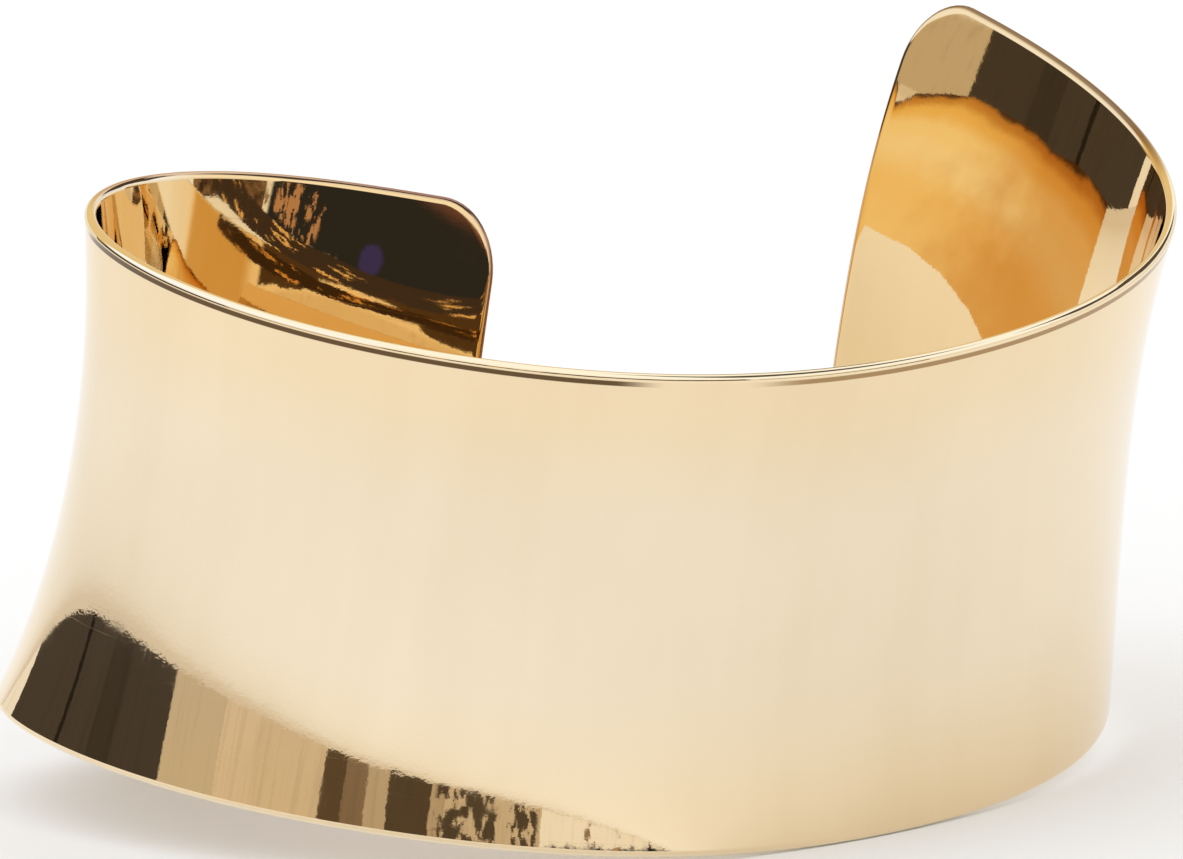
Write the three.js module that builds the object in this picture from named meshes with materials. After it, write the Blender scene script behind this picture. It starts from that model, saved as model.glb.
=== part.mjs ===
// Plain open cuff bracelet, bent from one sheet of brass with rounded corners and round rims.
//
// The band goes once round the wrist and leaves a gap at the back. It is dished across its width, so
// that both rims flare outwards, and it is wound a little like a screw thread, so that its right end
// stands higher than its left. It is shown as it lies by itself on a table, with the wrist hole
// nearly upright: it touches down on its lower rim, right of the front, and on the lower corner of
// its left end.
//
// Millimetres, +Z up, front towards -Y, gap towards +Y, origin at the middle of the box's base.

import * as THREE from 'three';

// Sheet blank before bending
const sheetThickness = 0.7;
const bandLength = 150;
const leftEndWidth = 33.6;
const frontWidth = 28.2;
const rightEndWidth = 35.7;
const cornerRadius = 3.5;
const rimRadius = sheetThickness / 2;

// Form of the band at places from the left end, -1, over the front, 0, to the right end, 1.
// Bend: curvature of the middle line seen down the wrist hole, in 1/m. Tilt, dish and skew: how far a
// line across the band stands out at 15 mm over the middle line, growing with the height, with its
// square and with its cube
const formHeight = 15;
const forms = [
  { place: -1, bend: -5.9, tilt: -0.42, dish: 3.88, skew: -0.65 },
  { place: -0.75, bend: 92.2, tilt: -0.4, dish: 2.67, skew: -0.32 },
  { place: -0.5, bend: 45, tilt: -0.4, dish: 1.21, skew: 0.08 },
  { place: -0.25, bend: 31.6, tilt: -0.43, dish: 1.48, skew: -0.01 },
  { place: 0, bend: 37.6, tilt: -0.5, dish: 1.94, skew: -0.12 },
  { place: 0.25, bend: 24.9, tilt: -0.52, dish: 1.38, skew: 0.12 },
  { place: 0.5, bend: 38.6, tilt: -0.72, dish: 0.81, skew: 0.42 },
  { place: 0.75, bend: 29.3, tilt: -1.62, dish: 1.13, skew: 0.58 },
  { place: 1, bend: 26.3, tilt: -2.29, dish: 1.51, skew: 0.65 },
];

// Winding: the middle line climbs from left to right and droops towards both ends, more to the right,
// and the lines across lean back the more the further right they are
const climbAngle = THREE.MathUtils.degToRad(4.8);
const endDroop = 1.9;
const rightDroop = 1.46;
const crossLean = THREE.MathUtils.degToRad(2.2);
const leanGain = THREE.MathUtils.degToRad(4.3);

// Lie on the table: turns about X and then about Y from the bent position
const lieAboutX = THREE.MathUtils.degToRad(10.07);
const lieAboutY = THREE.MathUtils.degToRad(8.39);

// Steps of the faceted surface
const lengthSteps = 76;
const widthSteps = 6;
const cornerSteps = 5;
const rimSteps = 4;
const lineStep = 0.25;
const slopeStep = 0.01;

const polishedGold = new THREE.MeshStandardMaterial({
  name: 'polished gold plate',
  color: 0xf1d59d,
  roughness: 0.07,
  metalness: 1,
});

// Form at a place from -1 to 1: past its ends the table goes on as its own mirror image, so that the
// form is level there
function makeForm() {
  const mirror = (end, next) => ({ ...next, place: 2 * end.place - next.place });
  const first = mirror(forms[0], forms[1]);
  const last = mirror(forms[forms.length - 1], forms[forms.length - 2]);
  const rows = [first, ...forms, last];
  const values = rows.flatMap((form) => [form.bend, form.tilt, form.dish, form.skew]);
  const curve = new THREE.CubicInterpolant(rows.map((form) => form.place), values, 4);
  return (place) => {
    const [bend, tilt, dish, skew] = curve.evaluate(place);
    return { bend, tilt, dish, skew };
  };
}

const formAt = makeForm();

// Stations of the middle line in plan, walked from the front to one end, side -1 or 1
function walkMiddleLine(side) {
  const half = bandLength / 2;
  const stations = [{ x: 0, y: 0, heading: 0 }];
  for (let along = lineStep; along <= half; along += lineStep) {
    const last = stations[stations.length - 1];
    const curvature = formAt(side * (along - lineStep / 2) / half).bend / 1000;
    const turn = side * lineStep * curvature;
    const middle = last.heading + turn / 2;
    stations.push({
      x: last.x + side * lineStep * Math.cos(middle),
      y: last.y + side * lineStep * Math.sin(middle),
      heading: last.heading + turn,
    });
  }
  return stations;
}

const leftStations = walkMiddleLine(-1);
const rightStations = walkMiddleLine(1);

// Place and heading of the middle line in plan at a length from the front, below 0 on the left
function middleLine(along) {
  const stations = along < 0 ? leftStations : rightStations;
  const count = Math.abs(along) / lineStep;
  const index = Math.min(Math.floor(count), stations.length - 2);
  const from = stations[index];
  const to = stations[index + 1];
  const share = count - index;
  return {
    x: THREE.MathUtils.lerp(from.x, to.x, share),
    y: THREE.MathUtils.lerp(from.y, to.y, share),
    heading: THREE.MathUtils.lerp(from.heading, to.heading, share),
  };
}

// Width of the blank at a place, as a share of its width at the front
function widening(place) {
  const left = leftEndWidth / frontWidth - 1;
  const right = rightEndWidth / frontWidth - 1;
  return 1 + (left + right) / 2 * place ** 2 + (right - left) / 2 * place;
}

// Point of the sheet's middle surface, for a point of the blank
function middleSurface(along, across) {
  const line = middleLine(along);
  const place = along / (bandLength / 2);
  const form = formAt(place);
  const height = across * widening(place);
  const level = height / formHeight;
  const out = level * (form.tilt + level * (form.dish + level * form.skew));
  const rise = along * Math.tan(climbAngle) - place ** 2 * (endDroop + rightDroop * place);
  const lean = crossLean + leanGain * place;
  const forward = new THREE.Vector3(Math.cos(line.heading), Math.sin(line.heading), 0);
  const outward = new THREE.Vector3(forward.y, -forward.x, 0);
  return new THREE.Vector3(line.x, line.y, rise + height * Math.cos(lean))
    .addScaledVector(outward, out)
    .addScaledVector(forward, -height * Math.sin(lean));
}

// Point of the bent sheet: offset is measured outwards from the middle surface
function bentPoint(along, across, offset) {
  const point = middleSurface(along, across);
  const ahead = middleSurface(along + slopeStep, across).sub(point);
  const above = middleSurface(along, across + slopeStep).sub(point);
  return point.add(ahead.cross(above).setLength(offset));
}

// Rows of the blank from its lower to its upper rim, inside the round of the rim: how far each one
// lies across, how far it stops short of the end, and how far its end has turned round the corner
function makeRows() {
  const straight = frontWidth / 2 - cornerRadius;
  const inner = cornerRadius - rimRadius;
  const corner = (side, step) => {
    const turn = step / cornerSteps * Math.PI / 2;
    return {
      across: side * (straight + inner * Math.sin(turn)),
      back: cornerRadius - inner * Math.cos(turn),
      turn: side * turn,
    };
  };
  const rows = [];
  for (let step = cornerSteps; step >= 0; step -= 1) {
    rows.push(corner(-1, step));
  }
  for (let step = 1; step < widthSteps; step += 1) {
    rows.push({ across: straight * (2 * step / widthSteps - 1), back: rimRadius, turn: 0 });
  }
  for (let step = 0; step <= cornerSteps; step += 1) {
    rows.push(corner(1, step));
  }
  return rows;
}

// Grid places round the edge of the sheet, once round
function makeEdge(lastRow) {
  const edge = [];
  for (let column = 0; column < lengthSteps; column += 1) {
    edge.push([column, 0]);
  }
  for (let row = 0; row < lastRow; row += 1) {
    edge.push([lengthSteps, row]);
  }
  for (let column = lengthSteps; column > 0; column -= 1) {
    edge.push([column, lastRow]);
  }
  for (let row = lastRow; row > 0; row -= 1) {
    edge.push([0, row]);
  }
  return edge;
}

// Closed surface of the sheet: an outer and an inner face, joined by a round rim
function makeSheet() {
  const rows = makeRows();
  const lastRow = rows.length - 1;
  const edge = makeEdge(lastRow);
  const positions = [];
  const triangles = [];

  const blankPlace = (column, row) => {
    const reach = bandLength / 2 - rows[row].back;
    return { along: reach * (2 * column / lengthSteps - 1), across: rows[row].across };
  };
  const addPoint = (along, across, offset) => {
    positions.push(...bentPoint(along, across, offset).toArray());
    return positions.length / 3 - 1;
  };
  const addQuad = (a, b, c, d) => {
    triangles.push(a, b, c, a, c, d);
  };

  // One face as a grid of point numbers, column by column
  const addFace = (offset) => Array.from({ length: lengthSteps + 1 }, (_, column) => (
    rows.map((_row, row) => {
      const place = blankPlace(column, row);
      return addPoint(place.along, place.across, offset);
    })
  ));
  const outer = addFace(rimRadius);
  const inner = addFace(-rimRadius);
  for (let column = 0; column < lengthSteps; column += 1) {
    for (let row = 0; row < lastRow; row += 1) {
      addQuad(outer[column][row], outer[column + 1][row],
        outer[column + 1][row + 1], outer[column][row + 1]);
      addQuad(inner[column][row], inner[column][row + 1],
        inner[column + 1][row + 1], inner[column + 1][row]);
    }
  }

  // The rim goes round from the outer to the inner face in half a circle
  const rim = edge.map(([column, row]) => {
    const place = blankPlace(column, row);
    const turn = rows[row].turn;
    const isEnd = column === 0 || column === lengthSteps;
    const outAlong = isEnd ? Math.sign(column - 1) * Math.cos(turn) : 0;
    const points = [outer[column][row]];
    for (let step = 1; step < rimSteps; step += 1) {
      const round = step / rimSteps * Math.PI;
      const out = rimRadius * Math.sin(round);
      points.push(addPoint(
        place.along + out * outAlong,
        place.across + out * Math.sin(turn),
        rimRadius * Math.cos(round),
      ));
    }
    points.push(inner[column][row]);
    return points;
  });
  rim.forEach((points, index) => {
    const next = rim[(index + 1) % rim.length];
    for (let step = 0; step < rimSteps; step += 1) {
      addQuad(points[step], points[step + 1], next[step + 1], next[step]);
    }
  });

  const geometry = new THREE.BufferGeometry();
  geometry.setAttribute('position', new THREE.Float32BufferAttribute(positions, 3));
  geometry.setIndex(triangles);
  geometry.computeVertexNormals();
  return geometry;
}

const cuff = new THREE.Mesh(makeSheet(), polishedGold);
cuff.name = 'cuff';
cuff.rotation.set(lieAboutX, lieAboutY, 0);

// Stand it on the table with the middle of its box over the origin
const box = new THREE.Box3().setFromObject(cuff, true);
const middle = box.getCenter(new THREE.Vector3());
cuff.position.set(-middle.x, -middle.y, -box.min.z);

const bracelet = new THREE.Group();
bracelet.add(cuff);

export default bracelet;
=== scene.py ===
"""Open cuff bracelet in polished gold plate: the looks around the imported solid.

The band is bent from the same values as the solid and stands in its place, fine enough to be a
mirror. Metres, +Z up, front towards -Y, the gap between the free ends towards +Y.
"""

import math

import bpy
import numpy as np
from bpy.props import FloatProperty, FloatVectorProperty, PointerProperty
from bpy.types import Operator, Panel, PropertyGroup
from mathutils import Matrix, Vector


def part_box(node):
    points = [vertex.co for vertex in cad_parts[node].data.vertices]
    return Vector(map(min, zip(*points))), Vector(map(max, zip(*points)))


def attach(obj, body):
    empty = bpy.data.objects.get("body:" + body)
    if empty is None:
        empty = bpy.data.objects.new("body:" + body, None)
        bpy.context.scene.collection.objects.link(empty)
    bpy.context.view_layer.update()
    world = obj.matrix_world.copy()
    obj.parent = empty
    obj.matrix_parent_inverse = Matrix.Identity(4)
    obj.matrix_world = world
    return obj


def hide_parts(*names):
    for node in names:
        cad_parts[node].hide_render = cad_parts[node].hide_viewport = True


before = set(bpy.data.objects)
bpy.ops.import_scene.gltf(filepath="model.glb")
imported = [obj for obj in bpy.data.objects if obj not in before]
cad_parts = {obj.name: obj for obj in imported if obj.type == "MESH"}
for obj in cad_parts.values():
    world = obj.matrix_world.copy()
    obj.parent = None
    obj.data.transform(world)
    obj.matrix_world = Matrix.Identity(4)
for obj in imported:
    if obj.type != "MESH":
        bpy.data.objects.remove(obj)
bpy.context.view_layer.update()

bl_info = {
    "name": "Open cuff bracelet",
    "version": (1, 0, 0),
    "blender": (4, 5, 0),
    "location": "3D View > Sidebar > Cuff",
    "description": "Polished gold cuff bracelet, bent from one dished sheet, with its studio",
    "category": "Add Mesh",
}

MM = 0.001

# Steps of the fine surface
LENGTH_STEPS = 440
WIDTH_STEPS = 34
CORNER_STEPS = 14
RIM_STEPS = 12
LINE_STEP = 0.02 * MM
SLOPE_STEP = 0.1 * MM

# Studio: reach of the table, of the dome over it and of the ring on it, and steps of their surfaces
FLOOR_REACH = 3
DOME_REACH = 2.9
DOME_LIFT = 0.02
DOME_START = math.radians(-2)
DOME_TOP = math.pi / 2 - 0.01
DOME_LEVELS = 25
RING_INNER, RING_OUTER = 0.1, 2.89
RING_LIFT = 0.4 * MM
TURN_STEPS = 96
CARD_LEVELS = 9
DARK_CARD_REACH = 300
DARK_CARD_MIDDLE = 30
DARK_CARD_TOP = 48


class CuffSizes(PropertyGroup):
    """Blank, form and lie of the cuff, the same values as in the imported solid. The form columns hold
    nine values each, from the left end over the front to the right end"""

    thickness: FloatProperty(
        name="Sheet thickness", description="Thickness of the sheet", default=0.7 * MM, unit="LENGTH"
    )
    band_length: FloatProperty(
        name="Band length", description="Length of the flat blank", default=150 * MM, unit="LENGTH"
    )
    left_end_width: FloatProperty(
        name="Left end width",
        description="Width of the blank at its left end",
        default=33.6 * MM,
        unit="LENGTH",
    )
    front_width: FloatProperty(
        name="Front width",
        description="Width of the blank at the front",
        default=28.2 * MM,
        unit="LENGTH",
    )
    right_end_width: FloatProperty(
        name="Right end width",
        description="Width of the blank at its right end",
        default=35.7 * MM,
        unit="LENGTH",
    )
    corner_radius: FloatProperty(
        name="Corner radius", description="Round of the four corners", default=3.5 * MM, unit="LENGTH"
    )
    bends: FloatVectorProperty(
        name="Bends",
        description="Curvature of the middle line seen down the wrist hole, in 1/m",
        size=9,
        default=(-5.9, 92.2, 45, 31.6, 37.6, 24.9, 38.6, 29.3, 26.3),
    )
    form_height: FloatProperty(
        name="Form height",
        description="Height over the middle line that tilts, dishes and skews are given for",
        default=15 * MM,
        unit="LENGTH",
    )
    tilts: FloatVectorProperty(
        name="Tilts",
        description="How far a line across stands out, growing with the height",
        size=9,
        default=[value * MM for value in (-0.42, -0.4, -0.4, -0.43, -0.5, -0.52, -0.72, -1.62, -2.29)],
        unit="LENGTH",
    )
    dishes: FloatVectorProperty(
        name="Dishes",
        description="How far a line across stands out, growing with the square of the height",
        size=9,
        default=[value * MM for value in (3.88, 2.67, 1.21, 1.48, 1.94, 1.38, 0.81, 1.13, 1.51)],
        unit="LENGTH",
    )
    skews: FloatVectorProperty(
        name="Skews",
        description="How far a line across stands out, growing with the cube of the height",
        size=9,
        default=[value * MM for value in (-0.65, -0.32, 0.08, -0.01, -0.12, 0.12, 0.42, 0.58, 0.65)],
        unit="LENGTH",
    )
    climb: FloatProperty(
        name="Climb",
        description="Climb of the band from left to right",
        default=math.radians(4.8),
        subtype="ANGLE",
    )
    end_droop: FloatProperty(
        name="End droop",
        description="Droop of the middle line at both ends",
        default=1.9 * MM,
        unit="LENGTH",
    )
    right_droop: FloatProperty(
        name="Right droop",
        description="More droop at the right end, less at the left",
        default=1.46 * MM,
        unit="LENGTH",
    )
    lean: FloatProperty(
        name="Cross lean",
        description="Lean of the line across the front",
        default=math.radians(2.2),
        subtype="ANGLE",
    )
    lean_gain: FloatProperty(
        name="Lean gain",
        description="More lean at the right end, less at the left",
        default=math.radians(4.3),
        subtype="ANGLE",
    )
    lie: FloatVectorProperty(
        name="Lie",
        description="Turns about X and then Y that lay the bent cuff on the table",
        size=2,
        default=(math.radians(10.07), math.radians(8.39)),
        subtype="EULER",
    )


class CuffFinish(PropertyGroup):
    """Gold plate and its polish, with painted reflections in the colours of the inner face and of the tight
    left bend
    """

    outer_gold: FloatVectorProperty(
        name="Outer gold",
        description="Colour of the buffed plate along the middle of the outer face",
        size=3,
        default=(0.9, 0.77, 0.575),
        subtype="COLOR",
        min=0,
        max=1,
    )
    rim_gold: FloatVectorProperty(
        name="Rim gold",
        description="Colour of the plate towards the rims of the outer face",
        size=3,
        default=(0.92, 0.745, 0.495),
        subtype="COLOR",
        min=0,
        max=1,
    )
    # Gold of the plate made deeper on the inner face: partly the plate's gold, partly a painted reflection
    # of the gold walls in each other
    inner_gold_with_painted_reflection: FloatVectorProperty(
        name="Inner gold",
        description="Colour of the plate on the inner face",
        size=3,
        default=(0.89, 0.67, 0.37),
        subtype="COLOR",
        min=0,
        max=1,
    )
    # Paler gold inside the tight left bend: a painted reflection of bright light there
    bend_gold_with_painted_reflection: FloatVectorProperty(
        name="Bend gold",
        description="Paler colour of the plate inside the tight left bend",
        size=3,
        default=(0.95, 0.87, 0.72),
        subtype="COLOR",
        min=0,
        max=1,
    )
    tone_change: FloatProperty(
        name="Tone change", description="Share that the plate's tone varies by", default=0.04, min=0, max=1
    )
    clean_roughness: FloatProperty(
        name="Clean roughness", description="Blur of the clean polish", default=0.02, min=0, max=1
    )
    smudge_roughness: FloatProperty(
        name="Smudge roughness",
        description="More blur where fingers have touched it",
        default=0.03,
        min=0,
        max=1,
    )
    scratch_roughness: FloatProperty(
        name="Scratch roughness",
        description="More blur along the fine hairlines",
        default=0.035,
        min=0,
        max=1,
    )
    pebble: FloatProperty(
        name="Pebble",
        description="Height of the fine orange peel of the polish",
        default=0.0013 * MM,
        unit="LENGTH",
    )
    ripple: FloatProperty(
        name="Ripple",
        description="Height of the long ripples of the sheet",
        default=0.006 * MM,
        unit="LENGTH",
    )


class StudioSet(PropertyGroup):
    """Floor, cards, light and camera"""

    floor_colour: FloatVectorProperty(
        name="Floor colour",
        description="Colour of the pale table top",
        size=3,
        default=(0.9, 0.9, 0.9),
        subtype="COLOR",
        min=0,
        max=1,
    )
    soft_light: FloatVectorProperty(
        name="Soft light",
        description="Light from all round, which the table shows",
        size=3,
        default=(1.12, 1.12, 1.12),
        subtype="COLOR",
        min=0,
        soft_max=2,
    )
    ceiling: FloatVectorProperty(
        name="Ceiling",
        description="Bright ceiling that the polish shows",
        size=3,
        default=(1.06, 1.06, 1.04),
        subtype="COLOR",
        min=0,
        soft_max=2,
    )
    aim: FloatVectorProperty(
        name="Aim",
        description="Point that the camera looks at",
        size=3,
        default=(-4.775 * MM, -25.16 * MM, 24.51 * MM),
        subtype="XYZ",
        unit="LENGTH",
    )
    distance: FloatProperty(
        name="Distance", description="From the camera to its aim", default=1.35755, unit="LENGTH"
    )
    azimuth: FloatProperty(
        name="Azimuth",
        description="Turn of the camera to the right",
        default=math.radians(-11.359),
        subtype="ANGLE",
    )
    elevation: FloatProperty(
        name="Elevation", description="Height of the camera", default=math.radians(10.034), subtype="ANGLE"
    )
    roll: FloatProperty(
        name="Roll",
        description="Turn about the line of sight",
        default=math.radians(-1.856),
        subtype="ANGLE",
    )
    lens: FloatProperty(
        name="Focal length", description="For a sensor 36 mm wide", default=741.52, subtype="DISTANCE_CAMERA"
    )


class Socket:
    """Output of a shader node. Expressions written with it become Math nodes"""

    def __init__(self, shader, output):
        self.shader = shader
        self.output = output

    def math(self, operation, *values):
        return self.shader.add("ShaderNodeMath", {"operation": operation}, dict(enumerate(values)))

    def __add__(self, other):
        return self.math("ADD", self, other)

    def __radd__(self, other):
        return self.math("ADD", other, self)

    def __sub__(self, other):
        return self.math("SUBTRACT", self, other)

    def __rsub__(self, other):
        return self.math("SUBTRACT", other, self)

    def __mul__(self, other):
        return self.math("MULTIPLY", self, other)

    def __rmul__(self, other):
        return self.math("MULTIPLY", other, self)

    def __pow__(self, other):
        return self.math("POWER", self, other)

    def __truediv__(self, other):
        return self.math("DIVIDE", self, other)

    def __abs__(self):
        return self.math("ABSOLUTE", self)

    def larger(self, other):
        return self.math("MAXIMUM", self, other)

    def fade(self, low, high):
        """0 up to low and 1 from high, with a smooth step between"""
        return self.shader.add(
            "ShaderNodeMapRange",
            {"interpolation_type": "SMOOTHSTEP"},
            {"Value": self, "From Min": low, "From Max": high},
        )

    def inside(self, low, high, soft):
        """1 from low to high, fading out over soft on both sides"""
        return self.fade(low - soft, low) * (1 - self.fade(high, high + soft))


class Shader:
    """Node tree of one material or world"""

    def __init__(self, owner):
        self.owner = owner
        owner.use_nodes = True
        self.tree = owner.node_tree
        self.tree.nodes.clear()

    def add(self, kind, settings=None, sockets=None, output=0):
        """New node of a kind, with its settings and then its sockets filled in"""
        node = self.tree.nodes.new(kind)
        if kind == "ShaderNodeValToRGB":
            node.color_ramp.interpolation = "CONSTANT"
        for name, value in (settings or {}).items():
            if name == "stops":
                self.fill_ramp(node.color_ramp, value)
            elif name == "smooth":
                node.color_ramp.interpolation = "EASE"
            else:
                setattr(node, name, value)
        for name, value in (sockets or {}).items():
            if isinstance(value, Socket):
                self.tree.links.new(value.output, node.inputs[name])
            else:
                node.inputs[name].default_value = value
        return Socket(self, node.outputs[output]) if len(node.outputs) else None

    def mix(self, factor, first, second, blend="MIX"):
        """Colour from first to second as the factor goes from 0 to 1"""
        pick = [value if isinstance(value, Socket) else (*value, 1) for value in (first, second)]
        settings = {"data_type": "RGBA", "blend_type": blend}
        return self.add("ShaderNodeMix", settings, {0: factor, 6: pick[0], 7: pick[1]}, 2)

    def vector(self, x, y, z):
        return self.add("ShaderNodeCombineXYZ", sockets={"X": x, "Y": y, "Z": z})

    def split(self, vector):
        """X, Y and Z of a vector"""
        kind = "ShaderNodeSeparateXYZ"
        return [self.add(kind, sockets={"Vector": vector}, output=axis) for axis in range(3)]

    def place(self, name):
        """Point attribute of the mesh"""
        return self.add("ShaderNodeAttribute", {"attribute_name": name}, output="Vector")

    def glow(self, colour):
        return self.add("ShaderNodeEmission", sockets={"Color": colour})

    def material(self, surface):
        """The material, with its output linked to a surface"""
        self.add("ShaderNodeOutputMaterial", sockets={"Surface": surface})
        return self.owner

    def noise(self, vector, scale, detail=2, rough=0.5):
        """Noise from 0 to 1, in pieces of about 1 / scale"""
        sockets = {"Vector": vector, "Scale": scale, "Detail": detail, "Roughness": rough}
        return self.add("ShaderNodeTexNoise", sockets=sockets)

    @staticmethod
    def fill_ramp(ramp, stops):
        while len(ramp.elements) > 1:
            ramp.elements.remove(ramp.elements[-1])
        ramp.elements[0].position, ramp.elements[0].color = stops[0]
        for position, colour in stops[1:]:
            ramp.elements.new(position).color = colour


def new_shader(name):
    return Shader(bpy.data.materials.new(name))


def add_mesh(name, points, faces, material):
    """New object from points and faces, shaded smooth"""
    mesh = bpy.data.meshes.new(name)
    mesh.from_pydata(points, [], faces)
    mesh.validate()
    mesh.materials.append(material)
    mesh.shade_smooth()
    item = bpy.data.objects.new(name, mesh)
    bpy.context.scene.collection.objects.link(item)
    return item


def write_places(item, name, places):
    """Keeps a place for each point of a mesh, for its material"""
    attribute = item.data.attributes.new(name, "FLOAT_VECTOR", "POINT")
    attribute.data.foreach_set("vector", places.astype(np.float32).ravel())


def quads(grid):
    """Faces between neighbours in a grid of point numbers"""
    return np.stack([grid[:-1, :-1], grid[1:, :-1], grid[1:, 1:], grid[:-1, 1:]], -1).reshape(-1, 4)


def form_at(column, place):
    """Value of a form column at places from -1 to 1; past its ends it goes on as its mirror image"""
    values = np.array(column)
    padded = np.concatenate([values[1:2], values, values[-2:-1]])
    spans = len(values) - 1
    count = np.clip((place + 1) / 2 * spans, 0, spans - 1e-9)
    index = count.astype(int)
    share = count - index
    before, start, end, after = (padded[index + step] for step in range(4))
    return start + share / 2 * (
        end - before
        + share * (2 * before - 5 * start + 4 * end - after)
        + share**2 * (3 * start - before - 3 * end + after)
    )


def middle_line(sizes):
    """Stations along the band's middle line in plan, a little past its ends: along, x, y, heading"""
    reach = round(sizes.band_length / 2 / LINE_STEP) + 50
    along = LINE_STEP * np.arange(-reach, reach + 1)

    def walk(slope):
        total = np.concatenate([[0], np.cumsum((slope[1:] + slope[:-1]) / 2 * LINE_STEP)])
        return total - total[reach]

    heading = walk(form_at(sizes.bends, along / (sizes.band_length / 2)))
    return along, walk(np.cos(heading)), walk(np.sin(heading)), heading


def middle_surface(sizes, line, along, across):
    """Points of the sheet's middle surface, for places on the blank"""
    x, y, heading = (np.interp(along, line[0], column) for column in line[1:])
    place = along / (sizes.band_length / 2)
    left = sizes.left_end_width / sizes.front_width - 1
    right = sizes.right_end_width / sizes.front_width - 1
    height = across * (1 + (left + right) / 2 * place**2 + (right - left) / 2 * place)
    level = height / sizes.form_height
    tilt, dish, skew = (form_at(column, place) for column in (sizes.tilts, sizes.dishes, sizes.skews))
    out = level * (tilt + level * (dish + level * skew))
    rise = along * math.tan(sizes.climb) - place**2 * (sizes.end_droop + sizes.right_droop * place)
    lean = sizes.lean + sizes.lean_gain * place
    back = height * np.sin(lean)
    return np.stack(
        [
            x + np.sin(heading) * out - np.cos(heading) * back,
            y - np.cos(heading) * out - np.sin(heading) * back,
            rise + height * np.cos(lean),
        ],
        -1,
    )


def bend_sheet(sizes, line, along, across, offset):
    """Points of the bent sheet, for places on the blank and an offset outwards from its middle"""

    def slope(ahead, above):
        step = SLOPE_STEP
        far = middle_surface(sizes, line, along + step * ahead, across + step * above)
        return far - middle_surface(sizes, line, along - step * ahead, across - step * above)

    normal = np.cross(slope(1, 0), slope(0, 1))
    normal /= np.linalg.norm(normal, axis=-1, keepdims=True)
    return middle_surface(sizes, line, along, across) + offset[..., None] * normal


def blank_rows(sizes):
    """Rows of the blank from lower to upper rim, inside the rim's round: how far across, how far
    short of the end, and how far the end has turned round the corner"""
    rim = sizes.thickness / 2
    straight = sizes.front_width / 2 - sizes.corner_radius
    inner = sizes.corner_radius - rim
    turn = np.linspace(0, math.pi / 2, CORNER_STEPS + 1)
    corner_across = straight + inner * np.sin(turn)
    corner_back = sizes.corner_radius - inner * np.cos(turn)
    between = np.linspace(-straight, straight, WIDTH_STEPS + 1)[1:-1]
    flat = np.zeros_like(between)
    across = np.concatenate([-corner_across[::-1], between, corner_across])
    back = np.concatenate([corner_back[::-1], flat + rim, corner_back])
    turned = np.concatenate([-turn[::-1], flat, turn])
    return across, back, turned


def band_surface(sizes):
    """Points and faces of the closed sheet, and each point's place on the blank"""
    line = middle_line(sizes)
    rim = sizes.thickness / 2
    across, back, turned = blank_rows(sizes)
    rows = len(across)
    share = np.linspace(-1, 1, LENGTH_STEPS + 1)
    along = share[:, None] * (sizes.band_length / 2 - back)[None]
    across = np.broadcast_to(across, along.shape)
    number = np.arange(along.size).reshape(along.shape)
    outer, inner = number, number + along.size

    edge = [(column, 0) for column in range(LENGTH_STEPS)]
    edge += [(LENGTH_STEPS, row) for row in range(rows - 1)]
    edge += [(column, rows - 1) for column in range(LENGTH_STEPS, 0, -1)]
    edge += [(0, row) for row in range(rows - 1, 0, -1)]
    columns, edge_rows = np.array(edge).T
    end = np.where(columns == 0, -1, np.where(columns == LENGTH_STEPS, 1, 0))
    out_along, out_across = end * np.cos(turned[edge_rows]), np.sin(turned[edge_rows])
    around = np.linspace(0, math.pi, RIM_STEPS + 1)[1:-1, None]
    out = rim * np.sin(around)
    rim_along = along[columns, edge_rows] + out * out_along
    rim_across = across[columns, edge_rows] + out * out_across
    rim_offset = np.broadcast_to(rim * np.cos(around), rim_along.shape)

    blank = np.concatenate(
        [
            np.stack([along.ravel(), across.ravel(), np.full(along.size, rim)], -1),
            np.stack([along.ravel(), across.ravel(), np.full(along.size, -rim)], -1),
            np.stack([rim_along.ravel(), rim_across.ravel(), rim_offset.ravel()], -1),
        ]
    )
    points = bend_sheet(sizes, line, *blank.T)

    rings = 2 * along.size + np.arange(rim_along.size).reshape(rim_along.shape)
    bands = np.concatenate([outer[columns, edge_rows][None], rings, inner[columns, edge_rows][None]])
    bands = np.concatenate([bands, bands[:, :1]], 1)
    faces = np.concatenate([quads(outer), quads(inner)[:, ::-1], quads(bands)])
    return points, faces, blank


def lay_down(points, sizes):
    """Turns the bent points to the way the cuff lies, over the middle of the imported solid's base"""
    turn = Matrix.Rotation(sizes.lie[0], 3, "X") @ Matrix.Rotation(sizes.lie[1], 3, "Y")
    points = points @ np.array(turn).T
    low, high = points.min(0), points.max(0)
    base = Vector(((low[0] + high[0]) / 2, (low[1] + high[1]) / 2, low[2]))
    low_cad, high_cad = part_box("cuff")
    fit = min(1, *(np.array(high_cad - low_cad) / (high - low)))
    middle = np.array([(low_cad.x + high_cad.x) / 2, (low_cad.y + high_cad.y) / 2, low_cad.z])
    return (points - np.array(base)) * fit + middle


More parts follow.
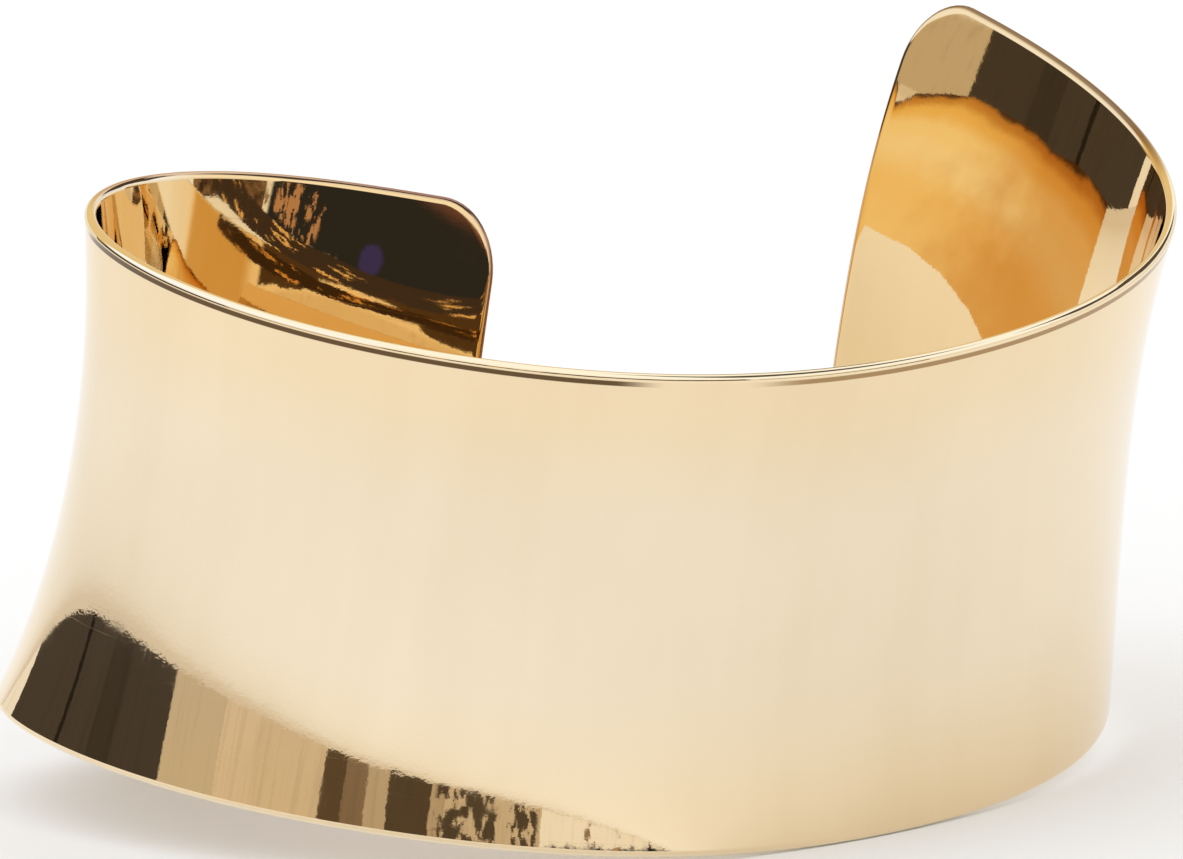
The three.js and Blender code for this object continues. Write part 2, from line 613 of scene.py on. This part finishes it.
def gold_material(finish):
    """Polished gold plate, by places on the blank in millimetres: along, across, offset. Its colour holds
    painted reflections on the inner face, in the left bend and along the rims
    """
    shader = new_shader("polished gold plate")
    blank = shader.place("blank")
    along, across, offset = shader.split(blank)
    inner = 1 - offset.fade(-0.25, 0.15)

    towards_rim = abs(across).fade(4, 13)
    plate = shader.mix(towards_rim, finish.outer_gold, finish.rim_gold)
    # Inner face: deeper gold as a painted reflection, paler in the tight left bend as a painted reflection
    # of bright light
    inside = shader.mix(along.inside(-55, -38, 4), finish.inner_gold_with_painted_reflection, finish.bend_gold_with_painted_reflection)
    plate = shader.mix(inner, plate, inside)
    clouds = shader.noise(blank, 0.09, 3).fade(0.3, 0.7)
    streaks = shader.noise(shader.vector(along * 0.22, across * 0.02, offset), 1, 3, 0.6).fade(0.35, 0.75)
    light = 1 - finish.tone_change * (0.5 * clouds + 0.5 * streaks)
    plate = shader.mix(1, plate, shader.vector(light, light ** 1.4, light ** 2.2), "MULTIPLY")

    # Rims, all painted reflections: a pale painted highlight round the front, a dark painted reflection line
    # under the upper one, and browner painted reflections on the rims of both arms
    rim = 1 - abs(offset).fade(0.24, 0.335)
    under_rim_painted_line = across.inside(13.48, 13.73, 0.05) * offset.fade(0.3, 0.33)
    painted_rim_reflections = (
        (rim * along.inside(-46, 46, 4), (0.96, 0.85, 0.64)),
        (under_rim_painted_line * along.inside(-42, -5, 3), (0.14, 0.085, 0.04)),
        (under_rim_painted_line * along.inside(6, 48, 4), (0.42, 0.27, 0.13)),
        (rim * (1 - along.fade(-52, -46)), (0.66, 0.47, 0.33)),
        (rim * (1 - along.fade(-70, -60)), (0.36, 0.2, 0.15)),
        (rim * along.fade(46, 54), (0.27, 0.17, 0.09)),
    )
    for share, tone in painted_rim_reflections:
        plate = shader.mix(share, plate, tone)

    smudges = shader.noise(blank, 0.14, 5, 0.62).fade(0.46, 0.72)
    hairlines = shader.noise(shader.vector(along * 0.12, across * 9, offset * 3), 1, 2).fade(0.6, 0.72)
    wipes = shader.noise(shader.vector(along * 7, across * 0.2, offset * 3 + 40), 1, 2).fade(0.62, 0.74)
    scratches = hairlines.larger(wipes)
    blur = finish.clean_roughness + finish.smudge_roughness * smudges
    roughness = blur + finish.scratch_roughness * scratches

    peel = shader.noise(blank, 1.5, 3, 0.65)
    waves = shader.noise(shader.vector(along * 0.22, across * 0.1, offset * 0.1), 1, 1)
    height = finish.pebble * peel + finish.ripple * waves - 0.02 * finish.pebble * scratches
    normal = shader.add("ShaderNodeBump", sockets={"Strength": 1, "Distance": 1, "Height": height})
    surface = shader.add(
        "ShaderNodeBsdfPrincipled",
        sockets={"Base Color": plate, "Metallic": 1, "Roughness": roughness, "Normal": normal},
    )
    return shader.material(surface)


class CUFF_OT_add_band(Operator):
    """Add the bent band with its round rim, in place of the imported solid"""

    bl_idname = "cuff.add_band"
    bl_label = "Add band"

    def execute(self, context):
        sizes = context.scene.cuff_sizes
        points, faces, blank = band_surface(sizes)
        points = lay_down(points, sizes)
        gold = gold_material(context.scene.cuff_finish)
        band = add_mesh("cuff_band", points.tolist(), faces.tolist(), gold)
        write_places(band, "blank", blank / MM)
        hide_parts("cuff")
        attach(band, "root")
        return {"FINISHED"}


# Colours along the horizon, each from a turn in degrees on: 0 is the front, below 0 the left
ROOM = (
    (-180, (0.95, 0.92, 0.86)),
    (-152, (0.07, 0.057, 0.046)),
    (-129, (0.022, 0.018, 0.014)),
    (-127.8, (0.068, 0.056, 0.046)),
    (-118, (0.052, 0.043, 0.034)),
    (-111, (0.066, 0.054, 0.044)),
    (-97, (0.6, 0.51, 0.385)),
    (-82, (0.72, 0.6, 0.46)),
    (-74, (0.68, 0.565, 0.42)),
    (-58, (0.11, 0.075, 0.042)),
    (-53.6, (0.24, 0.17, 0.11)),
    (-50, (0.52, 0.42, 0.3)),
    (-46, (0.095, 0.068, 0.042)),
    (-37, (0.5, 0.4, 0.28)),
    (-34, (0.62, 0.51, 0.37)),
    (-14, (0.93, 0.89, 0.82)),
)


def reflected_room(shader, studio):
    """Colour of the room as the polish shows it, by direction: bright above, with dark and beige
    bands along the horizon. Turn and rise are in degrees"""
    place = shader.add("ShaderNodeTexCoord", output="Object")
    towards = shader.add("ShaderNodeVectorMath", {"operation": "NORMALIZE"}, {0: place})
    x, y, z = shader.split(towards)
    turn = x.math("ARCTAN2", x, 0 - y) * math.degrees(1)
    rise = z.math("ARCSINE", z) * math.degrees(1)
    crumbs = shader.noise(towards, 24, 4, 0.6)
    grain = shader.noise(shader.vector(x * 60, y * 60, z * 6), 1, 2)

    share = (turn + 180 + 0.8 * (crumbs - 0.5)) / 360
    stops = [((start + 180) / 360, (*colour, 1)) for start, colour in ROOM]
    walls = shader.add("ShaderNodeValToRGB", {"stops": stops}, {"Fac": share})
    clutter = turn.inside(-35, -14, 1) * crumbs.fade(0.47, 0.5)
    walls = shader.mix(clutter, walls, (0.09, 0.066, 0.042))
    spots = turn.inside(-2, 30, 2) * crumbs.fade(0.56, 0.6) * (1 - rise.fade(1.5, 3))
    walls = shader.mix(spots, walls, (0.3, 0.2, 0.12))
    walls = shader.mix(0.1 * grain.fade(0.5, 0.7), walls, (0, 0, 0))
    wall_top = rise.fade(13.5, 15.5)
    room = shader.mix(wall_top, walls, studio.ceiling)

    lower = 4.9 - 0.15 * (turn + 18)
    stand = turn.inside(-24, 21, 1.5) * (rise - lower + 3 * (crumbs - 0.5)).fade(-0.4, 0.4)
    stand = stand * (1 - rise.fade(17, 20))
    stand_tone = shader.mix(rise.fade(14.5, 17), (0.028, 0.027, 0.026), (0.2, 0.085, 0.06))
    room = shader.mix(stand, room, stand_tone)
    flecks = turn.inside(4, 19, 1) * rise.inside(1.5, 7, 0.5) * crumbs.fade(0.5, 0.53)
    room = shader.mix(flecks, room, (0.5, 0.27, 0.14))
    purple_spot = (turn + 9.6) ** 2 + (rise - 6.4) ** 2
    room = shader.mix(1 - purple_spot.fade(2.5, 5.5), room, (0.05, 0.04, 0.17))

    side = turn.inside(-140, -62, 8) * rise.inside(17, 45, 4)
    room = shader.mix(side, room, (1.05, 1.14, 1.36))
    behind = (1 - turn.fade(-150, -142)).larger(turn.fade(145, 160))
    room = shader.mix(behind * rise.inside(12, 45, 6), room, (0.8, 0.6, 0.3))
    step = 20 - 4.5 * turn.fade(113, 118) + 2 * turn.fade(124, 132)
    corner = turn.inside(96, 140, 4) * (rise - step + 3 * (crumbs - 0.5)).inside(0, 22, 0.5)
    room = shader.mix(corner, room, (0.1, 0.07, 0.045))
    overhead = turn.inside(35, 90, 10) * rise.inside(50, 78, 8)
    return shader.mix(overhead, room, (0.1, 0.08, 0.06))


class CUFF_OT_add_studio(Operator):
    """Add the pale floor, the soft light, the reflected room and the camera"""

    bl_idname = "cuff.add_studio"
    bl_label = "Add studio"

    def execute(self, context):
        studio = context.scene.cuff_studio
        self.add_floor(studio)
        self.add_gold_reflection_card()
        self.add_far_table()
        self.add_dark_card()
        self.add_hollow_reflection_card()
        self.add_room(studio)
        self.add_sky(context.scene, studio)
        self.add_camera(context.scene, studio)
        context.scene.view_settings.view_transform = "Standard"
        return {"FINISHED"}

    def add_floor(self, studio):
        shader = new_shader("pale table")
        surface = shader.add("ShaderNodeBsdfDiffuse", sockets={"Color": (*studio.floor_colour, 1)})
        reach = FLOOR_REACH
        corners = [(-reach, -reach, 0), (reach, -reach, 0), (reach, reach, 0), (-reach, reach, 0)]
        add_mesh("floor", corners, [(0, 1, 2, 3)], shader.material(surface))

    def add_card(self, name, line, colour_of, both_sides=False):
        """Standing card that only the polish shows, from its line in plan with lower and upper edge"""
        stations = np.array(line) * MM
        count = len(stations)
        share = np.linspace(0, 1, CARD_LEVELS)
        points = [(x, y, low + (high - low) * part) for x, y, low, high in stations for part in share]
        grid = np.arange(count * CARD_LEVELS).reshape(count, CARD_LEVELS)
        shader = new_shader(name)
        light = shader.glow(colour_of(shader, shader.place("card")))
        clear = shader.add("ShaderNodeBsdfTransparent")
        from_behind = 0 if both_sides else shader.add("ShaderNodeNewGeometry", output="Backfacing")
        one_sided = shader.add("ShaderNodeMixShader", sockets={0: from_behind, 1: light, 2: clear})
        card = add_mesh(name, points, quads(grid)[:, ::-1].tolist(), shader.material(one_sided))
        places = np.array([(column / (count - 1), part, 0) for column in range(count) for part in share])
        write_places(card, "card", places)
        self.show_in_polish(card)

    def add_gold_reflection_card(self):
        """Curved glowing card by the gap between the ends: a painted amber reflection of gold on gold, which
        shows inside the right arm
        """
        line = (
            (3.9, 39.9, 5, 29.8),
            (-1.2, 37.8, 7, 31.8),
            (-5.5, 35.3, 9, 33.1),
            (-9.7, 32.5, 10.9, 33.4),
            (-12.8, 29.2, 12.2, 35.3),
            (-15.6, 25.8, 12.6, 35.9),
            (-17.7, 22.5, 12.1, 36.7),
            (-19.4, 19.7, 12, 35.7),
            (-20.8, 17.1, 11.6, 33.8),
            (-21.5, 16.4, 11.5, 31.6),
            (-22.2, 15, 11.3, 30.5),
        )

        # Painted reflection: amber low down, paler higher up, deep and then dark at the top, and darker
        # towards its first end
        def amber(shader, place):
            across, up, _ = shader.split(place)
            wander = shader.noise(shader.vector(across * 7, up * 2.5, 0), 1, 3, 0.6)
            stops = (
                (0, (0.98, 0.74, 0.36, 1)),
                (0.3, (0.97, 0.7, 0.3, 1)),
                (0.55, (1, 0.84, 0.5, 1)),
                (0.72, (1, 0.8, 0.42, 1)),
                (0.86, (0.92, 0.6, 0.18, 1)),
                (0.95, (0.62, 0.3, 0.06, 1)),
                (1, (0.09, 0.045, 0.02, 1)),
            )
            level = up + 0.16 * (wander - 0.5)
            tone = shader.add("ShaderNodeValToRGB", {"stops": stops, "smooth": True}, {"Fac": level})
            deeper = 1 - (across + 0.5 * (wander - 0.5)).fade(0.2, 0.65)
            return shader.mix(deeper, tone, shader.mix(1, tone, (0.78, 0.6, 0.42), "MULTIPLY"))

        self.add_card("gold_reflection_card", line, amber)

    def add_far_table(self):
        """Ring on the table, whose far part shows a little darker in the polish"""
        shader = new_shader("far table")
        place = shader.add("ShaderNodeTexCoord", output="Object")
        reach = shader.add("ShaderNodeVectorMath", {"operation": "LENGTH"}, {0: place}, "Value")
        tone = shader.mix(reach.fade(0.15, 1.1), (0.96, 0.95, 0.93), (0.76, 0.69, 0.6))
        light = shader.glow(tone)
        clear = shader.add("ShaderNodeBsdfTransparent")
        ring = shader.add("ShaderNodeMixShader", sockets={0: reach.fade(0.1, 0.35), 1: clear, 2: light})
        turn = np.linspace(0, 2 * math.pi, TURN_STEPS + 1)[:, None]
        radius = np.array([RING_INNER, RING_OUTER])[None]
        level = 0 * radius * turn + RING_LIFT
        points = np.stack([radius * np.cos(turn), radius * np.sin(turn), level], -1).reshape(-1, 3)
        faces = quads(np.arange(len(points)).reshape(-1, 2))[:, ::-1]
        self.show_in_polish(add_mesh("far_table", points.tolist(), faces.tolist(), shader.material(ring)))

    def add_dark_card(self):
        """Card far off to the right of the front, which shows dark inside the left bend"""
        line = []
        for turn, low in ((22, -0.6), (32, -1.6), (42, -3), (50, -4.5), (58, -6)):
            reach = DARK_CARD_REACH
            angle = math.radians(turn)
            bottom = max(0, DARK_CARD_MIDDLE + reach * math.tan(math.radians(low)))
            line.append((reach * math.sin(angle), -reach * math.cos(angle), bottom, DARK_CARD_TOP))

        def brown(shader, place):
            wander = shader.noise(place, 9, 3, 0.6)
            return shader.mix(wander.fade(0.4, 0.65), (0.05, 0.03, 0.02), (0.3, 0.17, 0.08))

        self.add_card("dark_card", line, brown)

    def add_hollow_reflection_card(self):
        """Small glowing card inside the front: a painted dark reflection with painted amber glints, which
        shows inside the left arm
        """

        def glints(shader, place):
            across, up, _ = shader.split(place)
            wander = shader.noise(shader.vector(across * 5, up * 2 + across * 3, 0), 1, 4, 0.65)
            # Painted amber glints scattered over the dark painted reflection
            glint = wander.fade(0.56, 0.59) * (1 - wander.fade(0.62, 0.65))
            return shader.mix(glint, (0.055, 0.035, 0.022), (0.85, 0.5, 0.18))

        line = (
            (13.5, -20, 30.6, 36),
            (6, -20, 30.4, 35),
            (0, -20, 29.6, 32.8),
            (-9, -20, 28.6, 30.9),
            (-17, -20, 28.4, 30.7),
        )
        self.add_card("hollow_reflection_card", line, glints, both_sides=True)

    def add_sky(self, scene, studio):
        scene.world = bpy.data.worlds.new("studio")
        shader = Shader(scene.world)
        colour = (*studio.soft_light, 1)
        light = shader.add("ShaderNodeBackground", sockets={"Color": colour, "Strength": 1})
        shader.add("ShaderNodeOutputWorld", sockets={"Surface": light})

    def add_room(self, studio):
        """Wide dome that only the polish shows"""
        shader = new_shader("reflected room")
        light = shader.glow(reflected_room(shader, studio))
        turn = np.linspace(0, 2 * math.pi, TURN_STEPS + 1)[:, None]
        rise = np.linspace(DOME_START, DOME_TOP, DOME_LEVELS)[None]
        flat = DOME_REACH * np.cos(rise)
        level = np.broadcast_to(DOME_REACH * np.sin(rise), (TURN_STEPS + 1, DOME_LEVELS))
        points = np.stack([flat * np.cos(turn), flat * np.sin(turn), level], -1).reshape(-1, 3)
        grid = np.arange(len(points)).reshape(TURN_STEPS + 1, DOME_LEVELS)
        faces = quads(grid).tolist()
        faces.append(grid[:-1, -1].tolist())
        dome = add_mesh("room_dome", points.tolist(), faces, shader.material(light))
        dome.location.z = DOME_LIFT
        self.show_in_polish(dome)

    def show_in_polish(self, item):
        """Stage piece that only glossy surfaces show, and that lights nothing"""
        for kind in ("camera", "diffuse", "transmission", "volume_scatter", "shadow"):
            setattr(item, f"visible_{kind}", False)
        item.active_material.cycles.emission_sampling = "NONE"

    def add_camera(self, scene, studio):
        data = bpy.data.cameras.new("camera")
        data.sensor_fit = "HORIZONTAL"
        data.sensor_width = 36
        data.lens = studio.lens
        data.clip_start, data.clip_end = 0.05, 20
        camera = bpy.data.objects.new("camera", data)
        scene.collection.objects.link(camera)
        turn = (
            Matrix.Rotation(studio.azimuth, 3, "Z")
            @ Matrix.Rotation(math.pi / 2 - studio.elevation, 3, "X")
            @ Matrix.Rotation(studio.roll, 3, "Z")
        )
        back = turn @ Vector((0, 0, 1))
        place = Vector(studio.aim) + back * studio.distance
        camera.matrix_world = Matrix.Translation(place) @ turn.to_4x4()
        scene.camera = camera


class CUFF_PT_bracelet(Panel):
    """Sizes, finish and studio of the cuff bracelet"""

    bl_idname = "CUFF_PT_bracelet"
    bl_label = "Cuff bracelet"
    bl_space_type = "VIEW_3D"
    bl_region_type = "UI"
    bl_category = "Cuff"

    def draw(self, context):
        for group, operator in (
            (context.scene.cuff_sizes, "cuff.add_band"),
            (context.scene.cuff_finish, None),
            (context.scene.cuff_studio, "cuff.add_studio"),
        ):
            column = self.layout.column()
            for name in group.__annotations__:
                column.prop(group, name)
            if operator:
                column.operator(operator)


GROUPS = {"cuff_sizes": CuffSizes, "cuff_finish": CuffFinish, "cuff_studio": StudioSet}
CLASSES = (*GROUPS.values(), CUFF_OT_add_band, CUFF_OT_add_studio, CUFF_PT_bracelet)


def register():
    for item in CLASSES:
        bpy.utils.register_class(item)
    for name, group in GROUPS.items():
        setattr(bpy.types.Scene, name, PointerProperty(type=group))


def unregister():
    for name in GROUPS:
        delattr(bpy.types.Scene, name)
    for item in reversed(CLASSES):
        bpy.utils.unregister_class(item)


def main():
    register()
    bpy.ops.cuff.add_studio()
    bpy.ops.cuff.add_band()


if __name__ == "__main__":
    main()
